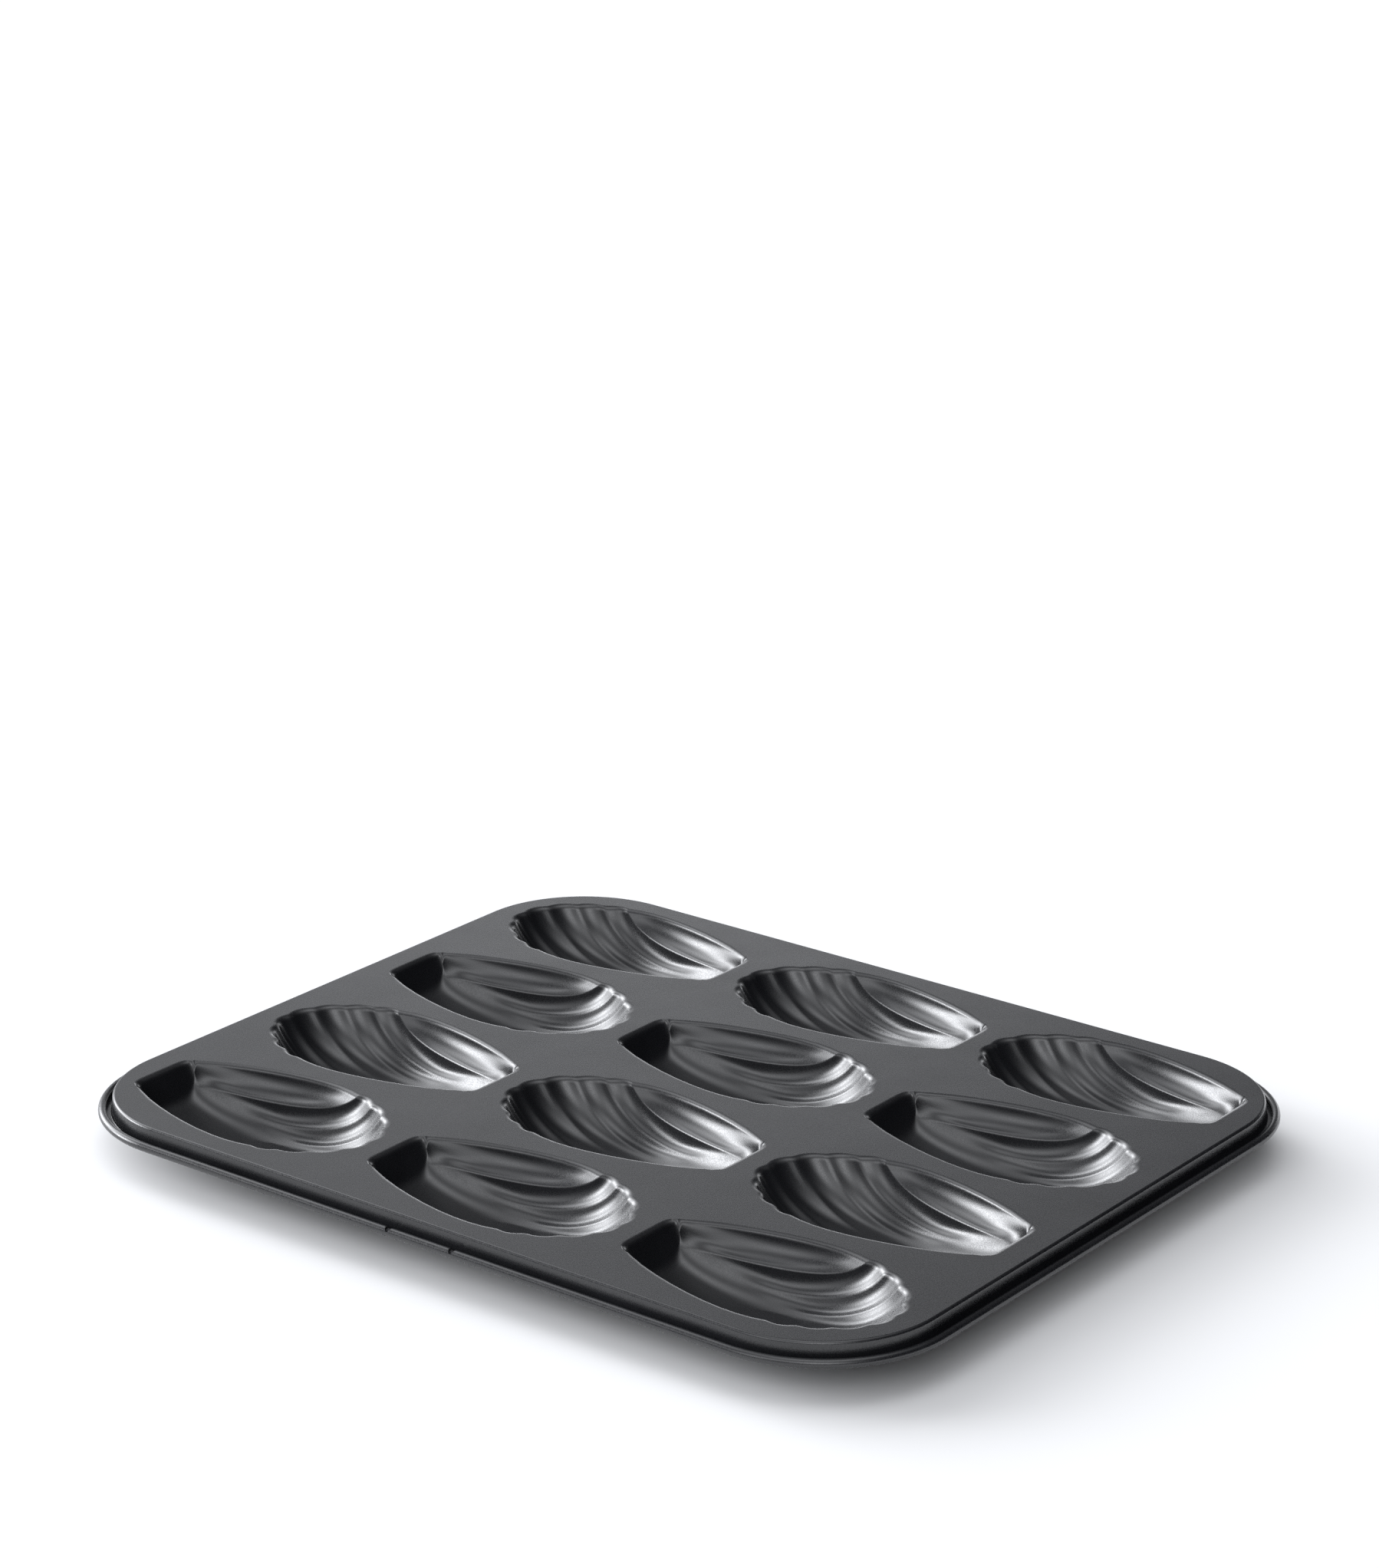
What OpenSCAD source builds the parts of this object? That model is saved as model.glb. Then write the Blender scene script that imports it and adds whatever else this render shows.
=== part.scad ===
// Shell cake pan: twelve fluted shell cavities pressed in one steel sheet,
// with a turned-down skirt and an edge rolled round a steel wire.
// The sheet is drawn as its rolled rim, its cavities and the deck round each, which meet face to face.
// Z = 0 is the surface that the cavities stand on, and the origin is at the middle of the pan.

/* [Sheet] */
// Thickness of the coated steel sheet
sheet_t = 0.6; // [0.4:0.1:0.8]
// Flat deck between neighbouring mouths, along the pan
gap_long = 9.8; // [7:0.1:16]
// Flat deck between neighbouring mouths, across the pan
gap_short = 9.6; // [7:0.1:16]
// Flat deck from the end mouths to the skirt
margin_long = 9.9; // [8:0.1:20]
// Flat deck from the side mouths to the skirt
margin_short = 8.8; // [7:0.1:20]

/* [Cavity] */
// Length of a mouth, from its flat end to the cusps of its shell end
mouth_l = 80.2; // [70:0.1:90]
// Width of a mouth across the cusps of its shell end
mouth_w = 46.4; // [40:0.1:52]
// Length of the rounded shell end
shell_l = 35; // [30:0.5:38]
// Width of the flat end at the mouth
flat_w = 22; // [16:0.5:26]
// Depth of the flat end wall
flat_depth = 9.2; // [7:0.1:10.5]
// Depth of the cavity down to the flats it stands on
cup_depth = 16; // [13:0.1:18]
// Number of flutes that end in a lobe of the shell end
lobes = 8; // [6:2:10]
// How far each lobe of the mouth stands out past its cusps
lobe_bulge = 1.0; // [0.2:0.1:1.5]
// Depth of a flute below its ridges
flute_relief = 1.2; // [0.8:0.1:1.6]
// Width of the rounded shoulder round a mouth
shoulder = 1.6; // [1.2:0.1:1.9]

/* [Rim] */
// Corner radius of the skirt
corner_r = 37; // [28:1:41]
// Outer radius where the deck turns down into the skirt
edge_r = 0.9; // [0.9:0.1:2]
// Drop from the top of the deck to the middle of the rim wire
wire_drop = 4.6; // [4:0.1:8]
// Diameter of the rim wire
wire_d = 1.4; // [1.2:0.1:2.4]
// Width of the groove between the top of the skirt and the rolled edge
groove_w = 1.6; // [1.2:0.1:3]
// How far over the wire the free edge of the sheet reaches
curl_end = 140; // [90:5:150]
// Diameter of the two notches in the free edge
notch_d = 2.2; // [1.5:0.1:3]
// Distance between the two notches
notch_gap = 22.5; // [10:0.5:60]

/* [Hidden] */

coat = [0.13, 0.13, 0.145];
wire_steel = [0.55, 0.56, 0.58];

// Grid of cavities
cups_long = 3;
cups_short = 4;
pitch_long = mouth_l + gap_long;
pitch_short = mouth_w + gap_short;
deck_l = cups_long * mouth_l + (cups_long - 1) * gap_long + 2 * margin_long;
deck_w = cups_short * mouth_w + (cups_short - 1) * gap_short + 2 * margin_short;
deck_z = cup_depth + sheet_t;

// Cavity frame: X from the flat end to the shell end, mouth plane at Z = 0
flat_x = -mouth_l / 2;
shell_x = mouth_l / 2 - shell_l;
flat_run = 0.5;
flat_square = 3.6;
foot_even = 0.6;
corner_in = 1.2;
fan_angle = 71;
fan_even = 1.165;
side_swell = 3.3;
side_run = 18;
side_rise = 9;
half_fan = lobes / 2;
fan_end = half_fan + 1;
corner_trim = 0.07;
fore_pull = 1.14;
aft_pull = 1.4;
fore_share = 0.24;
aft_share = 0.17;
deep_lean = 0.55;
deep_power = 0.6;
relief_round = 0.7;
side_relief = 1.6;
flute_tilt = 0.25;
fade_reach = 0.7;
fade_curve = 1.6;
fade_run = 0.3;
flute_steps = 3;
floor_rows = [0.13, 0.27, 0.42, 0.57, 0.72, 0.87];

// Rolled rim section
skirt_lean = 5;
bend_r = 0.4;
wire_fit = 0.02;
curl_r = wire_d / 2 + wire_fit;
curl_out = curl_r + sheet_t;
curl_x = groove_w + curl_out;
curl_z = deck_z - wire_drop;
foot_z = curl_z - curl_r;
skirt_out = [cos(skirt_lean), sin(skirt_lean)];
skirt_down = [sin(skirt_lean), -cos(skirt_lean)];
edge_centre = [-edge_r, deck_z - edge_r];
skirt_h = (edge_centre[1] + (edge_r + bend_r) * skirt_out[1] - foot_z - bend_r) / cos(skirt_lean);
bend_centre = edge_centre + (edge_r + bend_r) * skirt_out + skirt_h * skirt_down;

function blend3(a, b, c, d, s) =
    (1 - s) ^ 3 * a + 3 * (1 - s) ^ 2 * s * b + 3 * (1 - s) * s ^ 2 * c + s ^ 3 * d;
function unit(v) = v / norm(v);
function side(q) = q < 0 ? -1 : 1;
function flip(p, q) = [p[0], side(q) * p[1]];

// The fan number q is 0 on the middle ridge, whole on each ridge, and fan_end at a flat end corner.
function fan_turn(v) = fan_angle * (fan_even * v - (fan_even - 1) * v ^ 3);
function shell_edge(a) =
    [shell_x + shell_l * cos(fan_turn(a / half_fan)), mouth_w / 2 * sin(fan_turn(a / half_fan))];
function side_edge(f) =
    blend3(shell_edge(half_fan), [shell_x, mouth_w / 2 + side_swell],
        [flat_x + side_run, flat_w / 2 + side_rise], [flat_x, flat_w / 2], f);
function edge(q) = flip(abs(q) <= half_fan ? shell_edge(abs(q)) : side_edge(abs(q) - half_fan), q);
function edge_way(q) = unit(edge(q + 0.02) - edge(q - 0.02));
function edge_out(q) = [edge_way(q)[1], -edge_way(q)[0]];

// Foot of the flat end wall, as a squared half ellipse; the wall turns in at its two ends
function spread(q) = 90 * q / fan_end;
function wall_share(q) = (abs(q) / fan_end) ^ foot_even;
function wall_x(q) = flat_x + corner_in * wall_share(q) ^ 8;
function wall_y(q) = side(q) * flat_w / 2 * wall_share(q);
function wall_h(q) = flat_depth * (1 - wall_share(q) ^ flat_square) ^ (1 / flat_square);
function wall_foot(q) = [wall_x(q) + flat_run * wall_h(q), wall_y(q), -wall_h(q)];

// Floor of the cavity: one curve for each q, from the wall's foot to the mouth, plus the flute
function depth_share(q) = (1 - sin(spread(q)) ^ 4) ^ deep_power;
function lean(q) = deep_lean * abs(q / fan_end) ^ 3;
function reach(q) = edge(q) - [wall_foot(q)[0], wall_foot(q)[1]];
function floor_curve(q, s) = blend3(wall_foot(q),
    concat([wall_foot(q)[0], wall_foot(q)[1]] + fore_share * reach(q),
        -fore_pull * (1 - lean(q)) * cup_depth * depth_share(q)),
    concat(edge(q) - aft_share * reach(q),
        -aft_pull * (1 + lean(q)) * cup_depth * depth_share(q)),
    concat(edge(q), 0), s);

// Flutes: the middle ones fade out before they reach the flat end
function hollow(q) = 4 * (abs(q) - floor(abs(q))) * (1 - abs(q) + floor(abs(q)));
function fade_start(q) = fade_reach * (1 - abs(q / fan_end) ^ fade_curve) - fade_run / 3;
function ease(t) = t ^ 2 * (3 - 2 * t);
function formed(q, s) = ease(max(0, min(1, (s - fade_start(q)) / fade_run)));
function flute_depth(q, s) = flute_relief * sin(180 * s) ^ relief_round * formed(q, s)
    * (abs(q) > half_fan ? side_relief * (fan_end - abs(q)) : 1);
function lobe_depth(q, s) = abs(q) > half_fan ? 0 : lobe_bulge * s ^ 4;
function flute_way(q) = [0, sin(flute_tilt * spread(q)), -cos(flute_tilt * spread(q))];
function pressed(q, s) = floor_curve(q, s)
    + hollow(q) * (flute_depth(q, s) * flute_way(q) + lobe_depth(q, s) * concat(edge_out(q), 0));
function settled(p) = [p[0], p[1], max(p[2], -cup_depth)];

// Shoulder between the deck and the cavity
function lip(q) = [pressed(q, 1)[0], pressed(q, 1)[1], 0];
function aft_length(q) =
    3 * norm(concat(aft_share * reach(q), aft_pull * (1 + lean(q)) * cup_depth * depth_share(q)));
function lip_cut(q) = min(0.35, shoulder / aft_length(q));
function lip_in(q) = pressed(q, 1 - lip_cut(q));
function lip_out(q) = lip(q) + min(shoulder, 0.35 * aft_length(q)) * concat(edge_out(q), 0);
function wall_cut(q) = min(shoulder, 0.4 * wall_h(q));
function wall_top(q) = [wall_x(q), wall_y(q), 0];
wall_down = unit([flat_run, 0, -1]);
function wall_in(q) = wall_top(q) + wall_cut(q) * wall_down;
function wall_out(q) = wall_top(q) - [wall_cut(q), 0, 0];

// One column of the cavity's inner face, from the deck at the flat end to the deck at the shell end
function column(q) = concat([wall_out(q), wall_in(q), wall_foot(q)],
    [for (s = floor_rows) settled(pressed(q, s * (1 - lip_cut(q))))],
    [lip_in(q), 0.25 * lip_in(q) + 0.5 * lip(q) + 0.25 * lip_out(q), lip_out(q)]);
fan_last = fan_end - corner_trim;
columns = [for (i = [0 : 2 * fan_end * flute_steps])
    column(max(-fan_last, min(fan_last, -fan_end + i / flute_steps)))];
col_n = len(columns);
row_n = len(columns[0]);
function corner_pt(ends, k) =
    (ends[0] + ends[row_n - 1]) / 2 + 0.15 * shoulder * [-1, k, 0];
corner_pts = [corner_pt(columns[0], -1), corner_pt(columns[col_n - 1], 1)];

// Outline of the mouth on the deck, anticlockwise
mouth_line = concat([for (i = [0 : col_n - 1]) columns[i][row_n - 1]], [corner_pts[1]],
    [for (i = [col_n - 1 : -1 : 0]) columns[i][0]], [corner_pts[0]]);
mouth_flat = [for (p = mouth_line) [p[0], p[1]]];

// Direction from the inner face to the outer face, square to the sheet
function at(i, j) = columns[max(0, min(col_n - 1, i))][max(0, min(row_n - 1, j))];
function is_level(i, j) = j == 0 || j == row_n - 1 || at(i, j)[2] <= -cup_depth;
function wall_back(i) = unit([-1, (at(i + 1, 1)[0] - at(i - 1, 1)[0])
    / (at(i + 1, 1)[1] - at(i - 1, 1)[1]), -flat_run]);
function outward(i, j) = is_level(i, j) ? [0, 0, -1] : j == 1 ? wall_back(i)
    : unit(cross(at(i + 1, j) - at(i - 1, j), at(i, j + 1) - at(i, j - 1)));
function outer(i, j) = let (p = at(i, j) + sheet_t * outward(i, j))
    [p[0], p[1], max(p[2], -deck_z)];

inner_pts = [for (i = [0 : col_n - 1]) for (j = [0 : row_n - 1]) at(i, j)];
outer_pts = [for (i = [0 : col_n - 1]) for (j = [0 : row_n - 1]) outer(i, j)];
face_n = col_n * row_n;
cup_pts = concat(inner_pts, outer_pts, corner_pts, [for (p = corner_pts) p - [0, 0, sheet_t]]);
function id(i, j, under) = i * row_n + j + (under ? face_n : 0);
function apex(k, under) = 2 * face_n + k + (under ? 2 : 0);
function turned(f, under) = under ? f : [f[2], f[1], f[0]];
function skin(under) = concat(
    [for (i = [0 : col_n - 2]) for (j = [0 : row_n - 2]) for (h = [0, 1])
        turned(h == 0 ? [id(i, j, under), id(i, j + 1, under), id(i + 1, j + 1, under)]
            : [id(i, j, under), id(i + 1, j + 1, under), id(i + 1, j, under)], under)],
    [for (j = [0 : row_n - 2])
        turned([apex(0, under), id(0, j + 1, under), id(0, j, under)], under)],
    [for (j = [0 : row_n - 2])
        turned([apex(1, under), id(col_n - 1, j, under), id(col_n - 1, j + 1, under)], under)]);
function loop(under) = concat([for (i = [0 : col_n - 1]) id(i, row_n - 1, under)],
    [apex(1, under)], [for (i = [col_n - 1 : -1 : 0]) id(i, 0, under)], [apex(0, under)]);
function band() = let (a = loop(false), b = loop(true), n = len(a))
    [for (i = [0 : n - 1]) for (h = [0, 1])
        h == 0 ? [a[i], b[(i + 1) % n], b[i]] : [a[i], a[(i + 1) % n], b[(i + 1) % n]]];
cup_faces = concat(skin(false), skin(true), band());

function cup_x(col) = (col - (cups_long - 1) / 2) * pitch_long;
function cup_y(row) = (row - (cups_short - 1) / 2) * pitch_short;
function cup_turn(row) = row % 2 == 0 ? 0 : 180;

// One fluted cavity; rows alternate which way the shells point
module cup(col, row) {
    color(coat)
        translate([cup_x(col), cup_y(row), deck_z])
            rotate([0, 0, cup_turn(row)])
                polyhedron(points = cup_pts, faces = cup_faces, convexity = 8);
}

module rounded_plate(l, w, r) {
    union() {
        square([l - 2 * r, w], center = true);
        square([l, w - 2 * r], center = true);
        for (x = [-1, 1], y = [-1, 1])
            translate([x * (l / 2 - r), y * (w / 2 - r)])
                circle(r = r, $fn = 96);
    }
}

// Flat top of the sheet round one mouth, out to halfway to its neighbours or to the skirt
module deck(col, row) {
    low_x = col == 0 ? -deck_l / 2 : cup_x(col) - pitch_long / 2;
    high_x = col == cups_long - 1 ? deck_l / 2 : cup_x(col) + pitch_long / 2;
    low_y = row == 0 ? -deck_w / 2 : cup_y(row) - pitch_short / 2;
    high_y = row == cups_short - 1 ? deck_w / 2 : cup_y(row) + pitch_short / 2;
    color(coat)
        translate([0, 0, cup_depth])
            linear_extrude(height = sheet_t)
                difference() {
                    intersection() {
                        rounded_plate(deck_l - 2 * edge_r, deck_w - 2 * edge_r, corner_r - edge_r);
                        translate([low_x, low_y])
                            square([high_x - low_x, high_y - low_y]);
                    }
                    translate([cup_x(col), cup_y(row)])
                        rotate(cup_turn(row))
                            polygon(mouth_flat);
                }
}

// Carries a section round the skirt's outline; X = 0 of the section is the skirt's outer face
module round_rim() {
    for (a = [0, 180]) {
        rotate([0, 0, a])
            translate([deck_l / 2, 0, 0])
                rotate([90, 0, 0])
                    linear_extrude(height = deck_w - 2 * corner_r, center = true)
                        children();
        rotate([0, 0, a + 90])
            translate([deck_w / 2, 0, 0])
                rotate([90, 0, 0])
                    linear_extrude(height = deck_l - 2 * corner_r, center = true)
                        children();
    }
    for (x = [-1, 1], y = [-1, 1])
        translate([x * (deck_l / 2 - corner_r), y * (deck_w / 2 - corner_r), 0])
            rotate([0, 0, x > 0 ? (y > 0 ? 0 : -90) : (y > 0 ? 90 : 180)])
                rotate_extrude(angle = 90, $fn = 96)
                    translate([corner_r, 0])
                        children();
}

module ring(r_out, r_in) {
    difference() {
        circle(r = r_out, $fn = 48);
        circle(r = r_in, $fn = 48);
    }
}

// Section of the sheet's edge: rounded deck edge, leaning skirt, foot and curl over the wire
module rim_section() {
    intersection() {
        translate(edge_centre)
            ring(edge_r, edge_r - sheet_t);
        translate(edge_centre)
            polygon([[0, 0], 2 * edge_r * skirt_out, 2 * edge_r * [1, 1], [0, 2 * edge_r]]);
    }
    polygon([edge_centre + edge_r * skirt_out,
        edge_centre + (edge_r - sheet_t) * skirt_out,
        edge_centre + (edge_r - sheet_t) * skirt_out + skirt_h * skirt_down,
        edge_centre + edge_r * skirt_out + skirt_h * skirt_down]);
    intersection() {
        translate(bend_centre)
            ring(bend_r + sheet_t, bend_r);
        translate(bend_centre)
            polygon([[0, 0], -2 * (bend_r + sheet_t) * skirt_out,
                -2 * (bend_r + sheet_t) * [1, 1], [0, -2 * (bend_r + sheet_t)]]);
    }
    translate([bend_centre[0], foot_z - sheet_t])
        square([curl_x - bend_centre[0], sheet_t]);
    translate([curl_x, curl_z])
        difference() {
            ring(curl_out, curl_r);
            polygon([[0, 0], [0, -2 * curl_out], [-2 * curl_out, -2 * curl_out],
                [-2 * curl_out, 0],
                2 * curl_out * [cos(curl_end), sin(curl_end)]]);
        }
}

// Skirt and rolled edge of the sheet, with two notches in the free edge on one long side
module rolled_rim() {
    color(coat)
        difference() {
            round_rim()
                rim_section();
            for (x = [-1, 1])
                translate([x * notch_gap / 2,
                        -deck_w / 2 - curl_x - curl_out * cos(curl_end), curl_z])
                    cylinder(d = notch_d, h = 2 * curl_out, $fn = 48);
        }
}

// Steel wire inside the rolled edge
module rim_wire() {
    color(wire_steel)
        round_rim()
            translate([curl_x, curl_z])
                circle(d = wire_d, $fn = 48);
}

rolled_rim();
rim_wire();
deck(0, 0);  // deck_a1
deck(0, 1);  // deck_a2
deck(0, 2);  // deck_a3
deck(0, 3);  // deck_a4
deck(1, 0);  // deck_b1
deck(1, 1);  // deck_b2
deck(1, 2);  // deck_b3
deck(1, 3);  // deck_b4
deck(2, 0);  // deck_c1
deck(2, 1);  // deck_c2
deck(2, 2);  // deck_c3
deck(2, 3);  // deck_c4
cup(0, 0);  // cup_a1
cup(0, 1);  // cup_a2
cup(0, 2);  // cup_a3
cup(0, 3);  // cup_a4
cup(1, 0);  // cup_b1
cup(1, 1);  // cup_b2
cup(1, 2);  // cup_b3
cup(1, 3);  // cup_b4
cup(2, 0);  // cup_c1
cup(2, 1);  // cup_c2
cup(2, 2);  // cup_c3
cup(2, 3);  // cup_c4
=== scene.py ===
"""Looks for the shell cake pan: one continuous coated sheet, its rim wire, a pale floor and soft light."""
from math import cos, floor, pi, radians, sin, sqrt

import bpy
from mathutils import Matrix, Vector
from mathutils.geometry import delaunay_2d_cdt


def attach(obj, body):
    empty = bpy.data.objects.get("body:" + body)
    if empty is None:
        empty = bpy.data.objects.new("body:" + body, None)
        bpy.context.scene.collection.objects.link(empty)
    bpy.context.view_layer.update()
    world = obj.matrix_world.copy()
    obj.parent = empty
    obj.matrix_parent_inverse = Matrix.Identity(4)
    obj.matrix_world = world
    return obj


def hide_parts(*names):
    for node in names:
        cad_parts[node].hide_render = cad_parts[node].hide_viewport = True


MM = 0.001
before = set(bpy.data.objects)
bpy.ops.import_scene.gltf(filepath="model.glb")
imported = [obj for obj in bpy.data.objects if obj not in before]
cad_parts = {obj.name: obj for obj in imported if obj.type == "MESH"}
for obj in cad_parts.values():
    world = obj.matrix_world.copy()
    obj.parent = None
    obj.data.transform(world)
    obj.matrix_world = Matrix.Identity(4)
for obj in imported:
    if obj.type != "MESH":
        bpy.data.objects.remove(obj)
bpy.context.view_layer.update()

# ---------------------------------------------------------------- sizes, in millimetres
SHEET_T = 0.6
MOUTH_L, MOUTH_W, SHELL_L = 80.2, 46.4, 35.0
FLAT_W, FLAT_DEPTH, CUP_DEPTH = 22.0, 9.2, 16.0
PITCH_LONG, PITCH_SHORT = 90.0, 56.0
DECK_L, DECK_W = 280.0, 232.0
DECK_Z = CUP_DEPTH + SHEET_T
LOBES = 8
LOBE_BULGE, FLUTE_RELIEF, SHOULDER = 1.0, 1.2, 1.6
CORNER_R, EDGE_R, BEND_R, SKIRT_LEAN = 37.0, 0.9, 0.4, radians(5)
WIRE_D, WIRE_FIT, GROOVE_W, WIRE_DROP = 1.4, 0.02, 1.6, 4.6
CURL_END, NOTCH_D, NOTCH_REACH, NOTCH_GAP = 140.0, 2.2, 2.0, 22.5

# Cavity: X from the flat end to the shell end, mouth plane at Z = 0
FLAT_X, SHELL_X = -MOUTH_L / 2, MOUTH_L / 2 - SHELL_L
FLAT_RUN, FLAT_SQUARE, FOOT_EVEN = 0.5, 3.6, 0.6
FAN_ANGLE, FAN_EVEN = 71.0, 1.165
SIDE_SWELL, SIDE_RUN, SIDE_RISE = 3.3, 18.0, 9.0
HALF_FAN = LOBES // 2
FAN_END = HALF_FAN + 1
FORE_PULL, AFT_PULL, FORE_SHARE, AFT_SHARE = 1.14, 1.4, 0.24, 0.17
DEEP_LEAN, DEEP_POWER = 0.55, 0.6
RELIEF_ROUND, FLUTE_TILT, SIDE_RELIEF = 0.7, 0.25, 1.6
FADE_REACH, FADE_CURVE, FADE_RUN = 0.7, 1.6, 0.3
CORNER_IN, CORNER_TRIM = 1.2, 0.07
RIDGE_SOFT = 0.1

# Rolled rim section
CURL_R = WIRE_D / 2 + WIRE_FIT
CURL_OUT = CURL_R + SHEET_T
CURL_X = GROOVE_W + CURL_OUT
CURL_Z = DECK_Z - WIRE_DROP
FOOT_Z = CURL_Z - CURL_R

# Mesh density
FLUTE_STEPS = 10
WALL_STEPS, FLOOR_STEPS, ROUND_STEPS = 4, 24, 6
CORNER_STEPS = 24


def blend3(a, b, c, d, s):
    return (1 - s) ** 3 * a + 3 * (1 - s) ** 2 * s * b + 3 * (1 - s) * s ** 2 * c + s ** 3 * d


def blend2(a, b, c, s):
    return (1 - s) ** 2 * a + 2 * (1 - s) * s * b + s ** 2 * c


def sign(q):
    return -1.0 if q < 0 else 1.0


def flat(p, z=0.0):
    return Vector((p.x, p.y, z))


# ---------------------------------------------------------------- one pressed cavity
def shell_edge(a):
    v = a / HALF_FAN
    turn = radians(FAN_ANGLE * (FAN_EVEN * v - (FAN_EVEN - 1) * v ** 3))
    return Vector((SHELL_X + SHELL_L * cos(turn), MOUTH_W / 2 * sin(turn)))


def side_edge(f):
    return blend3(shell_edge(HALF_FAN), Vector((SHELL_X, MOUTH_W / 2 + SIDE_SWELL)),
                  Vector((FLAT_X + SIDE_RUN, FLAT_W / 2 + SIDE_RISE)), Vector((FLAT_X, FLAT_W / 2)), f)


def edge(q):
    p = shell_edge(abs(q)) if abs(q) <= HALF_FAN else side_edge(abs(q) - HALF_FAN)
    return Vector((p.x, sign(q) * p.y))


def edge_out(q):
    way = (edge(q + 0.02) - edge(q - 0.02)).normalized()
    return Vector((way.y, -way.x, 0))


def spread(q):
    return pi / 2 * q / FAN_END


def wall_y(q):
    return sign(q) * FLAT_W / 2 * (abs(q) / FAN_END) ** FOOT_EVEN


def wall_h(q):
    return FLAT_DEPTH * (1 - (abs(q) / FAN_END) ** (FOOT_EVEN * FLAT_SQUARE)) ** (1 / FLAT_SQUARE)


def wall_x(q):
    return FLAT_X + CORNER_IN * (abs(wall_y(q)) / (FLAT_W / 2)) ** 8


def wall_foot(q):
    return Vector((wall_x(q) + FLAT_RUN * wall_h(q), wall_y(q), -wall_h(q)))


def depth_share(q):
    return (1 - sin(spread(q)) ** 4) ** DEEP_POWER


def lean(q):
    return DEEP_LEAN * (abs(q) / FAN_END) ** 3


def floor_curve(q, s):
    foot, end = wall_foot(q), edge(q)
    reach = end - foot.xy
    deep = CUP_DEPTH * depth_share(q)
    return blend3(foot, flat(foot.xy + FORE_SHARE * reach, -FORE_PULL * (1 - lean(q)) * deep),
                  flat(end - AFT_SHARE * reach, -AFT_PULL * (1 + lean(q)) * deep), flat(end), s)


def hollow(q):
    t = abs(q) - floor(abs(q))
    t = min(t, 1 - t)
    if t >= RIDGE_SOFT or abs(q) > FAN_END - RIDGE_SOFT:
        return 4 * t * (1 - t)
    k = (2 - 4 * RIDGE_SOFT) / RIDGE_SOFT
    return 4 * RIDGE_SOFT * (1 - RIDGE_SOFT) + k * (t ** 2 - RIDGE_SOFT ** 2)


def rise(q, s):
    """How fully a flute is formed at this place along it: the middle ones fade out before the flat end."""
    start = FADE_REACH * (1 - (abs(q) / FAN_END) ** FADE_CURVE)
    t = max(0.0, min(1.0, (s - start + FADE_RUN / 3) / FADE_RUN))
    return t * t * (3 - 2 * t)


def pressed(q, s):
    p = floor_curve(q, s)
    past = abs(q) > HALF_FAN
    relief = FLUTE_RELIEF * sin(pi * min(s, 1)) ** RELIEF_ROUND * rise(q, s)
    relief *= SIDE_RELIEF * (FAN_END - abs(q)) if past else 1
    lobe = 0 if past else LOBE_BULGE * s ** 4
    tilt = FLUTE_TILT * spread(q)
    return p + hollow(q) * (relief * Vector((0, sin(tilt), -cos(tilt))) + lobe * edge_out(q))


def settled(p):
    p.z = max(p.z, -CUP_DEPTH)
    return p


def column(q):
    """Points of the cavity's inner face from the deck at the flat end to the deck at the shell end."""
    reach = edge(q) - wall_foot(q).xy
    drop = AFT_PULL * (1 + lean(q)) * CUP_DEPTH * depth_share(q)
    aft = 3 * sqrt((AFT_SHARE * reach.length) ** 2 + drop ** 2)
    cut = min(0.35, SHOULDER / aft)
    wall_cut = min(SHOULDER, 0.4 * wall_h(q))
    top = Vector((wall_x(q), wall_y(q), 0))
    wall_in = top + wall_cut * Vector((FLAT_RUN, 0, -1)).normalized()
    wall_out = top - Vector((wall_cut, 0, 0))
    foot = wall_foot(q)
    low = foot.lerp(wall_in, 0.22)
    ahead = settled(pressed(q, 0.04))
    lip = flat(pressed(q, 1))
    lip_in = pressed(q, 1 - cut)
    lip_out = lip + min(SHOULDER, 0.35 * aft) * edge_out(q)
    pts = [blend2(wall_out, top, wall_in, k / ROUND_STEPS) for k in range(ROUND_STEPS)]
    pts += [wall_in.lerp(low, k / WALL_STEPS) for k in range(WALL_STEPS)]
    pts += [blend2(low, foot, ahead, k / 4) for k in range(4)]
    pts += [settled(pressed(q, 0.04 + (0.96 - cut) * k / FLOOR_STEPS)) for k in range(FLOOR_STEPS)]
    pts += [blend2(lip_in, lip, lip_out, k / ROUND_STEPS) for k in range(ROUND_STEPS + 1)]
    return pts


def cavity():
    """Grid of points and unit normals of one cavity, and its two corner points on the deck."""
    last = FAN_END - CORNER_TRIM
    fan = [k / FLUTE_STEPS for k in range(1, FAN_END * FLUTE_STEPS) if k / FLUTE_STEPS < last]
    fan += [last]
    qs = [-q for q in reversed(fan)] + [0.0] + fan
    grid = [column(q) for q in qs]
    n, m = len(grid), len(grid[0])
    normals = []
    for i in range(n):
        for j in range(m):
            if j in (0, m - 1):
                normals.append(Vector((0, 0, 1)))
                continue
            across = grid[min(i + 1, n - 1)][j] - grid[max(i - 1, 0)][j]
            along = grid[i][j + 1] - grid[i][j - 1]
            normals.append(along.cross(across).normalized())
    corners = [(ends[0] + ends[-1]) / 2 + 0.15 * SHOULDER * Vector((-1, k, 0))
               for k, ends in ((-1, grid[0]), (1, grid[-1]))]
    pts = [p for col in grid for p in col] + corners
    normals += [Vector((0, 0, 1))] * 2
    return n, m, pts, normals


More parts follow.
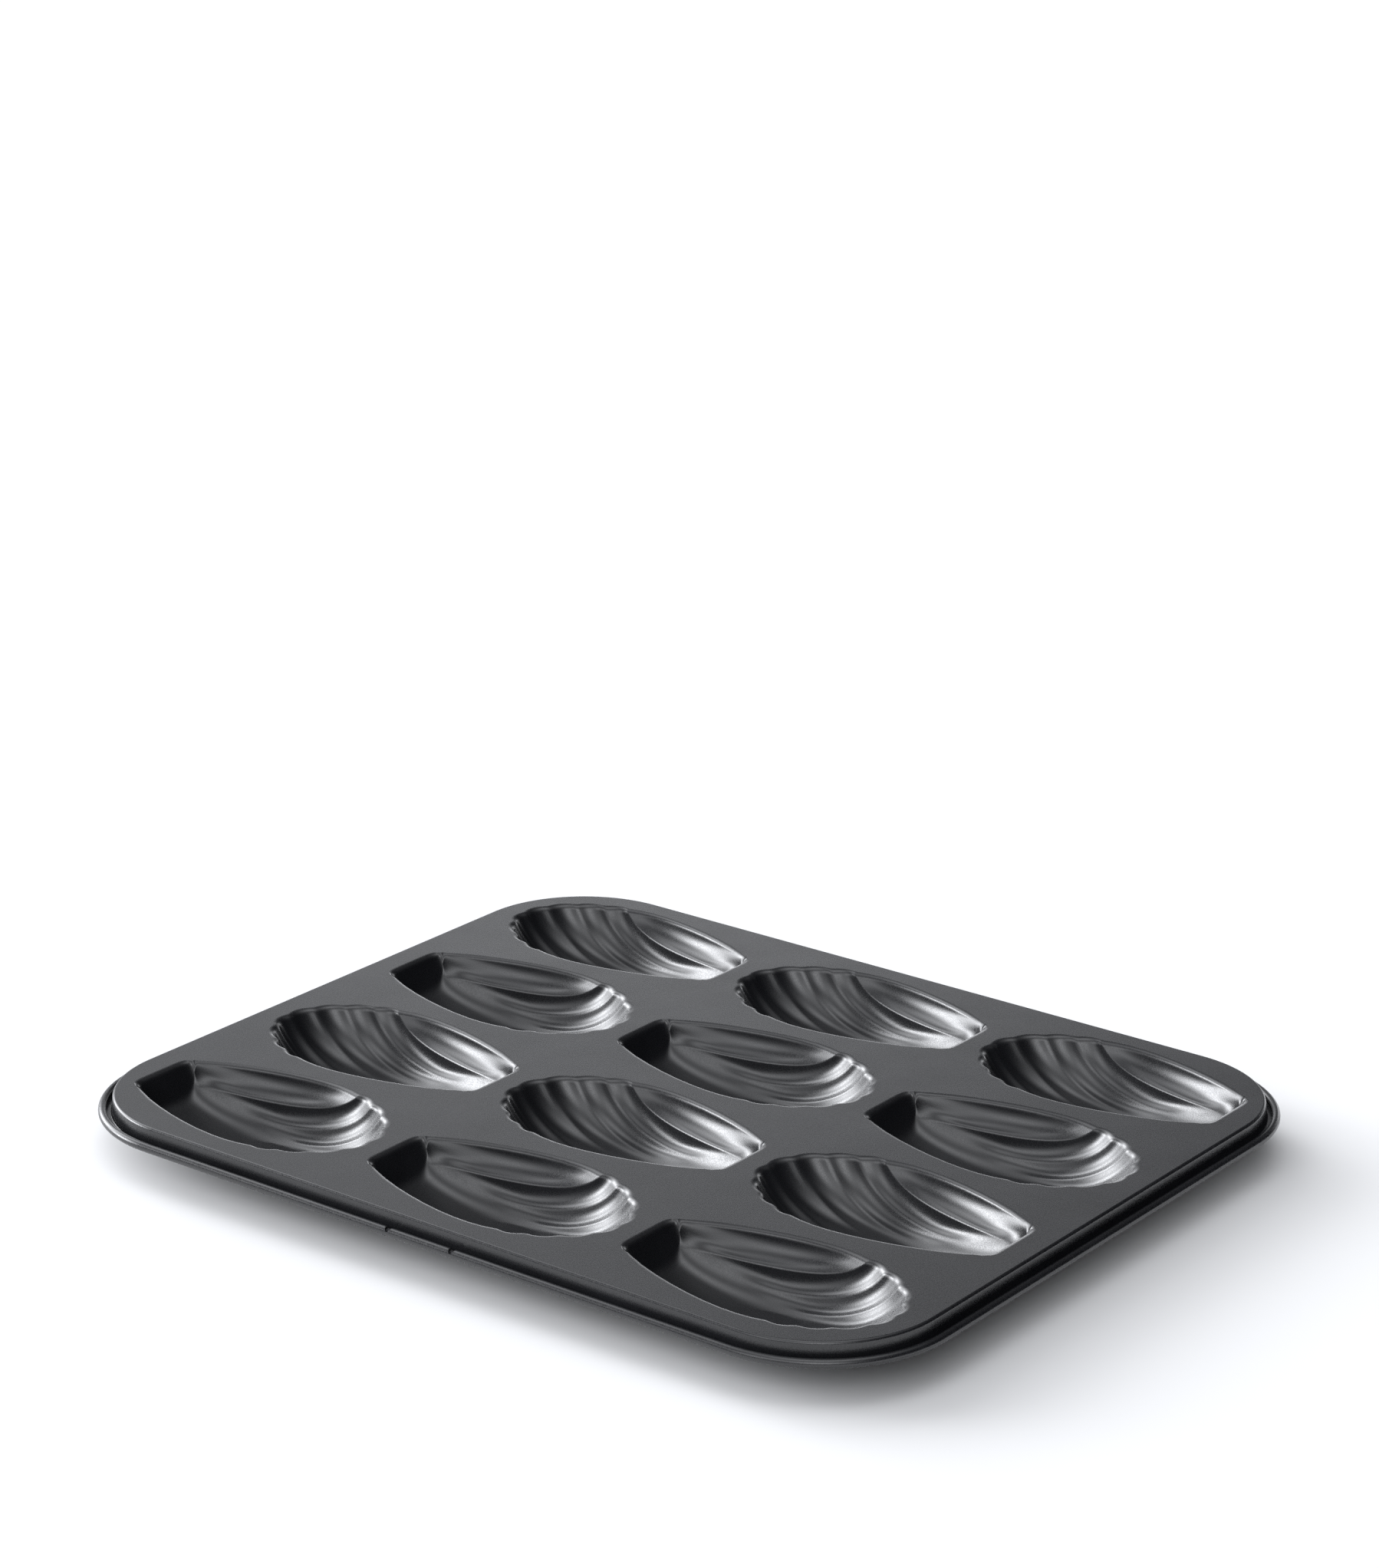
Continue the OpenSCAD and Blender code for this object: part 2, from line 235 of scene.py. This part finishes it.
# ---------------------------------------------------------------- the rim's outline and section
def outline():
    """Points of the skirt's outline with their outward directions, anticlockwise from the front side."""
    notches = [k * NOTCH_GAP / 2 for k in (-1, 1)]
    near = [x + NOTCH_D * k / 20 for x in notches for k in range(-11, 12)]
    stations = []
    for turn in range(4):
        length = (DECK_L if turn % 2 == 0 else DECK_W) - 2 * CORNER_R
        off = (DECK_W if turn % 2 == 0 else DECK_L) / 2
        marks = [length * (k / 32 - 0.5) for k in range(33)]
        if turn == 0:
            marks = sorted([x for x in marks if min(abs(x - c) for c in notches) > NOTCH_D] + near)
        spin = Matrix.Rotation(turn * pi / 2, 2)
        for x in marks:
            stations.append((spin @ Vector((x, -off)), spin @ Vector((0, -1)), x if turn == 0 else None))
        centre = Vector((length / 2, -off + CORNER_R))
        for k in range(1, CORNER_STEPS):
            a = -pi / 2 + pi / 2 * k / CORNER_STEPS
            way = Vector((cos(a), sin(a)))
            stations.append((spin @ (centre + CORNER_R * way), spin @ way, None))
    return stations


def notch_angle(x):
    """How far a notch cuts the curl back at this place along the front side, in radians."""
    if x is None:
        return 0.0
    u = abs(abs(x) - NOTCH_GAP / 2)
    return NOTCH_REACH * sqrt(max(0.0, (NOTCH_D / 2) ** 2 - u * u)) / (CURL_R + SHEET_T / 2)


def rim_section(cut):
    """Points (out, up) and normals (out, up) of the sheet's upper face from the deck to its free edge."""
    pts = []
    for k in range(9):
        a = pi / 2 + (SKIRT_LEAN - pi / 2) * k / 8
        pts.append((EDGE_R * (cos(a) - 1), DECK_Z + EDGE_R * (sin(a) - 1), cos(a), sin(a)))
    across, up = cos(SKIRT_LEAN), sin(SKIRT_LEAN)
    fall = (DECK_Z - EDGE_R + (EDGE_R + BEND_R) * up - FOOT_Z - BEND_R) / across
    top_x, top_z = pts[-1][:2]
    for k in range(1, 4):
        pts.append((top_x + fall * up * k / 4, top_z - fall * across * k / 4, across, up))
    bend_x = -EDGE_R + (EDGE_R + BEND_R) * across + fall * up
    for k in range(5):
        a = pi + SKIRT_LEAN + (pi / 2 - SKIRT_LEAN) * k / 4
        pts.append((bend_x + BEND_R * cos(a), FOOT_Z + BEND_R * (1 + sin(a)), -cos(a), -sin(a)))
    pts.append(((bend_x + CURL_X) / 2, FOOT_Z, 0, 1))
    for k in range(21):
        a = -pi / 2 + (radians(CURL_END) + pi / 2 - cut) * k / 20
        pts.append((CURL_X + CURL_R * cos(a), CURL_Z + CURL_R * sin(a), -cos(a), -sin(a)))
    return pts


# ---------------------------------------------------------------- the whole sheet as one mesh
def build_sheet():
    verts, normals, faces, mouths = [], [], [], []
    n, m, cup_pts, cup_normals = cavity()
    for col in range(3):
        for row in range(4):
            base = len(verts)
            k = -1 if row % 2 else 1
            centre = Vector(((col - 1) * PITCH_LONG, (row - 1.5) * PITCH_SHORT, DECK_Z))
            verts += [centre + Vector((k * p.x, k * p.y, p.z)) for p in cup_pts]
            normals += [Vector((k * v.x, k * v.y, v.z)) for v in cup_normals]
            low, high = base + n * m, base + n * m + 1
            for i in range(n - 1):
                for j in range(m - 1):
                    a = base + i * m + j
                    faces.append((a, a + 1, a + m + 1, a + m))
            for j in range(m - 1):
                faces.append((low, base + j + 1, base + j))
                faces.append((high, base + (n - 1) * m + j, base + (n - 1) * m + j + 1))
            mouths.append([base + i * m + m - 1 for i in range(n)] + [high]
                          + [base + i * m for i in reversed(range(n))] + [low])

    stations = outline()
    rim = len(verts)
    count = len(rim_section(0))
    for place, way, x in stations:
        for out, up, n_out, n_up in rim_section(notch_angle(x)):
            p = place + out * way
            verts.append(Vector((p.x, p.y, up)))
            normals.append(Vector((n_out * way.x, n_out * way.y, n_up)))
    turns = len(stations)
    for i in range(turns):
        a, b = rim + i * count, rim + (i + 1) % turns * count
        for j in range(count - 1):
            faces.append((a + j, a + j + 1, b + j + 1, b + j))

    rings = [[rim + i * count for i in range(turns)]] + mouths
    ids = [v for ring in rings for v in ring]
    local = {v: k for k, v in enumerate(ids)}
    borders = [[local[v] for v in ring] for ring in rings]
    filled = delaunay_2d_cdt([verts[v].xy for v in ids], [], borders, 1, 1e-6)
    for tri, within in zip(filled[2], filled[5]):
        if list(within) == [0]:
            faces.append(tuple(ids[filled[3][v][0]] for v in tri))

    total = len(verts)
    verts += [p - SHEET_T * v for p, v in zip(verts, normals)]
    under = [tuple(v + total for v in reversed(f)) for f in faces]
    edge_band = []
    for i in range(turns):
        a, b = rim + i * count + count - 1, rim + (i + 1) % turns * count + count - 1
        edge_band.append((a, a + total, b + total, b))
    mesh = bpy.data.meshes.new("sheet")
    mesh.from_pydata([p * MM for p in verts], [], faces + under + edge_band)
    mesh.update()
    mesh.shade_smooth()
    smooth = len(faces) * 2
    loops = []
    for poly in mesh.polygons:
        for v in poly.vertices:
            if poly.index >= smooth:
                loops.append(poly.normal.copy())
            elif v < total:
                loops.append(normals[v])
            else:
                loops.append(-normals[v - total])
    mesh.normals_split_custom_set([v[:] for v in loops])
    piece = bpy.data.objects.new("coated_sheet", mesh)
    bpy.context.collection.objects.link(piece)
    return piece


# ---------------------------------------------------------------- materials
class Nodes:
    """Short names for building a material's node tree."""

    def __init__(self, name):
        self.material = bpy.data.materials.new(name)
        self.material.use_nodes = True
        self.tree = self.material.node_tree
        self.shader = self.tree.nodes["Principled BSDF"]
        coords = self.tree.nodes.new("ShaderNodeTexCoord")
        self.place = coords.outputs["Object"]

    def add(self, kind, links=None, **values):
        node = self.tree.nodes.new(kind)
        for key, value in values.items():
            setattr(node, key, value)
        for key, value in (links or {}).items():
            if hasattr(value, "is_output"):
                self.tree.links.new(value, node.inputs[key])
            else:
                node.inputs[key].default_value = value
        return node

    def noise(self, scale, detail=3.0, roughness=0.5):
        return self.add("ShaderNodeTexNoise", {"Vector": self.place, "Scale": scale, "Detail": detail,
                                               "Roughness": roughness}).outputs["Fac"]

    def spread(self, value, low, high, start=0.3, end=0.7):
        return self.add("ShaderNodeMapRange", {"Value": value, "From Min": start, "From Max": end,
                                               "To Min": low, "To Max": high}).outputs["Result"]

    def ramp(self, value, stops):
        node = self.add("ShaderNodeValToRGB", {"Fac": value})
        bar = node.color_ramp.elements
        while len(bar) < len(stops):
            bar.new(0.5)
        for item, (place, colour) in zip(bar, stops):
            item.position = place
            item.color = (*colour, 1)
        return node.outputs["Color"]

    def bump(self, height, strength, distance, below=None):
        links = {"Height": height, "Strength": strength, "Distance": distance}
        if below:
            links["Normal"] = below
        return self.add("ShaderNodeBump", links).outputs["Normal"]

    def into(self, socket, value):
        if hasattr(value, "is_output"):
            self.tree.links.new(value, self.shader.inputs[socket])
        else:
            self.shader.inputs[socket].default_value = value


def coating():
    """Dark grey non-stick coating: satin, with a fine grain and a faint unevenness of the pressed sheet."""
    m = Nodes("nonstick_coating")
    grain = m.noise(2600, 2.0, 0.6)
    cloud = m.noise(55, 4.0, 0.55)
    m.into("Base Color", m.ramp(cloud, [(0.3, (0.0075, 0.0078, 0.0092)), (0.7, (0.012, 0.0124, 0.0145))]))
    m.into("Roughness", m.spread(grain, 0.2, 0.34))
    m.into("IOR", 1.7)
    m.into("Specular IOR Level", 0.5)
    wavy = m.bump(m.noise(28, 2.0, 0.4), 0.25, 0.0006)
    m.into("Normal", m.bump(grain, 0.28, 0.00005, wavy))
    return m.material


def shade_darkened_wire():
    """Drawn steel wire with faint scratches; its colour is darkened far below bare steel as painted shade
    for the shade inside the rolled rim.
    """
    m = Nodes("wire_steel_painted_shade")
    grain = m.noise(900, 4.0, 0.6)
    # Painted shade: the base colour is kept near black so the wire seen through the rim's notches reads
    # black; the ramp across it is random tone.
    m.into("Base Color", m.ramp(grain, [(0.3, (0.03, 0.03, 0.032)), (0.7, (0.06, 0.06, 0.063))]))
    m.into("Metallic", 1.0)
    m.into("Roughness", m.spread(grain, 0.32, 0.48))
    m.into("Normal", m.bump(grain, 0.2, 0.00005))
    return m.material


sheet = build_sheet()
sheet.data.materials.append(coating())
regions = [f"{kind}_{col}{row}" for kind in ("deck", "cup") for col in "abc" for row in range(1, 5)]
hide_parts("rolled_rim", *regions)
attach(sheet, "root")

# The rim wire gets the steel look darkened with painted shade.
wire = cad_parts["rim_wire"]
wire_shaded_look = shade_darkened_wire()
for slot in wire.material_slots:
    slot.material = wire_shaded_look

# ---------------------------------------------------------------- camera
AZIMUTH, ELEVATION, ROLL = radians(37.35), radians(18.86), radians(-0.37)
FOCAL_PX, FRAME_PX = 5590.05, 2044.0
SHIFT_DOWN, DISTANCE = 88.94, 1241.30

back = Vector((sin(AZIMUTH) * cos(ELEVATION), -cos(AZIMUTH) * cos(ELEVATION), sin(ELEVATION)))
right = Vector((cos(AZIMUTH), sin(AZIMUTH), 0))
down = (-back).cross(right)
right, down = cos(ROLL) * right + sin(ROLL) * down, cos(ROLL) * down - sin(ROLL) * right
eye = back * DISTANCE - down * SHIFT_DOWN + Vector((0, 0, DECK_Z))
lens = bpy.data.cameras.new("camera")
lens.sensor_fit = "VERTICAL"
lens.sensor_height = 36
lens.lens = 36 * FOCAL_PX / FRAME_PX
lens.clip_end = 100
camera = bpy.data.objects.new("camera", lens)
camera.matrix_world = Matrix.Translation(eye * MM) @ Matrix((right, -down, back)).transposed().to_4x4()
bpy.context.collection.objects.link(camera)
bpy.context.scene.camera = camera


# ---------------------------------------------------------------- floor and light
def build_floor():
    mesh = bpy.data.meshes.new("floor")
    rings, spokes = (0.0, 0.4, 1.0, 3.0, 12.0), 64
    verts = [(0, 0, 0)] + [(r * cos(2 * pi * k / spokes), r * sin(2 * pi * k / spokes), 0)
                           for r in rings[1:] for k in range(spokes)]
    faces = [(0, 1 + k, 1 + (k + 1) % spokes) for k in range(spokes)]
    for r in range(len(rings) - 2):
        a, b = 1 + r * spokes, 1 + (r + 1) * spokes
        faces += [(a + k, b + k, b + (k + 1) % spokes, a + (k + 1) % spokes) for k in range(spokes)]
    mesh.from_pydata(verts, [], faces)
    piece = bpy.data.objects.new("floor", mesh)
    bpy.context.collection.objects.link(piece)
    m = Nodes("pale_floor")
    m.into("Base Color", (0.9, 0.9, 0.9, 1))
    m.into("Roughness", 0.9)
    m.into("Specular IOR Level", 0.1)
    mesh.materials.append(m.material)


# Soft light areas round the pan: height above the horizon and turn from straight behind the pan as the
# camera sees it, in degrees (to the left is positive), then how narrow the area is, and its brightness
LIGHT_AREAS = [
    (3, 0, 60, 2.6),
    (16, 0, 50, 0.5),
    (3, -30, 60, 2.8),
    (16, 45, 50, 12.0),
    (16, 75, 50, 19.0),
    (33, 40, 20, 4.5),
    (33, 130, 20, 2.4),
    (33, 180, 20, 3.4),
    (90, 0, 12, 2.2),
]
LIGHT_COLOUR = (0.95, 0.965, 1.0)


def build_light():
    """A dark studio with soft light areas, written as directions in the world's own shader."""
    world = bpy.data.worlds.new("studio")
    world.use_nodes = True
    tree = world.node_tree
    background = tree.nodes["Background"]
    heading = tree.nodes.new("ShaderNodeTexCoord").outputs["Generated"]
    total = None
    for height, turn, narrow, level in LIGHT_AREAS:
        e, a = radians(height), AZIMUTH + pi / 2 + radians(turn)
        towards = tree.nodes.new("ShaderNodeVectorMath")
        towards.operation = "DOT_PRODUCT"
        towards.inputs[1].default_value = (cos(a) * cos(e), sin(a) * cos(e), sin(e))
        tree.links.new(heading, towards.inputs[0])
        last = towards.outputs["Value"]
        for kind, value in (("SUBTRACT", 1), ("MULTIPLY", narrow), ("EXPONENT", None), ("MULTIPLY", level)):
            step = tree.nodes.new("ShaderNodeMath")
            step.operation = kind
            tree.links.new(last, step.inputs[0])
            if value is not None:
                step.inputs[1].default_value = value
            last = step.outputs[0]
        if total:
            both = tree.nodes.new("ShaderNodeMath")
            tree.links.new(total, both.inputs[0])
            tree.links.new(last, both.inputs[1])
            last = both.outputs[0]
        total = last
    background.inputs["Color"].default_value = (*LIGHT_COLOUR, 1)
    tree.links.new(total, background.inputs["Strength"])
    bpy.context.scene.world = world


build_floor()
build_light()
view = bpy.context.scene.view_settings
view.view_transform = "Standard"
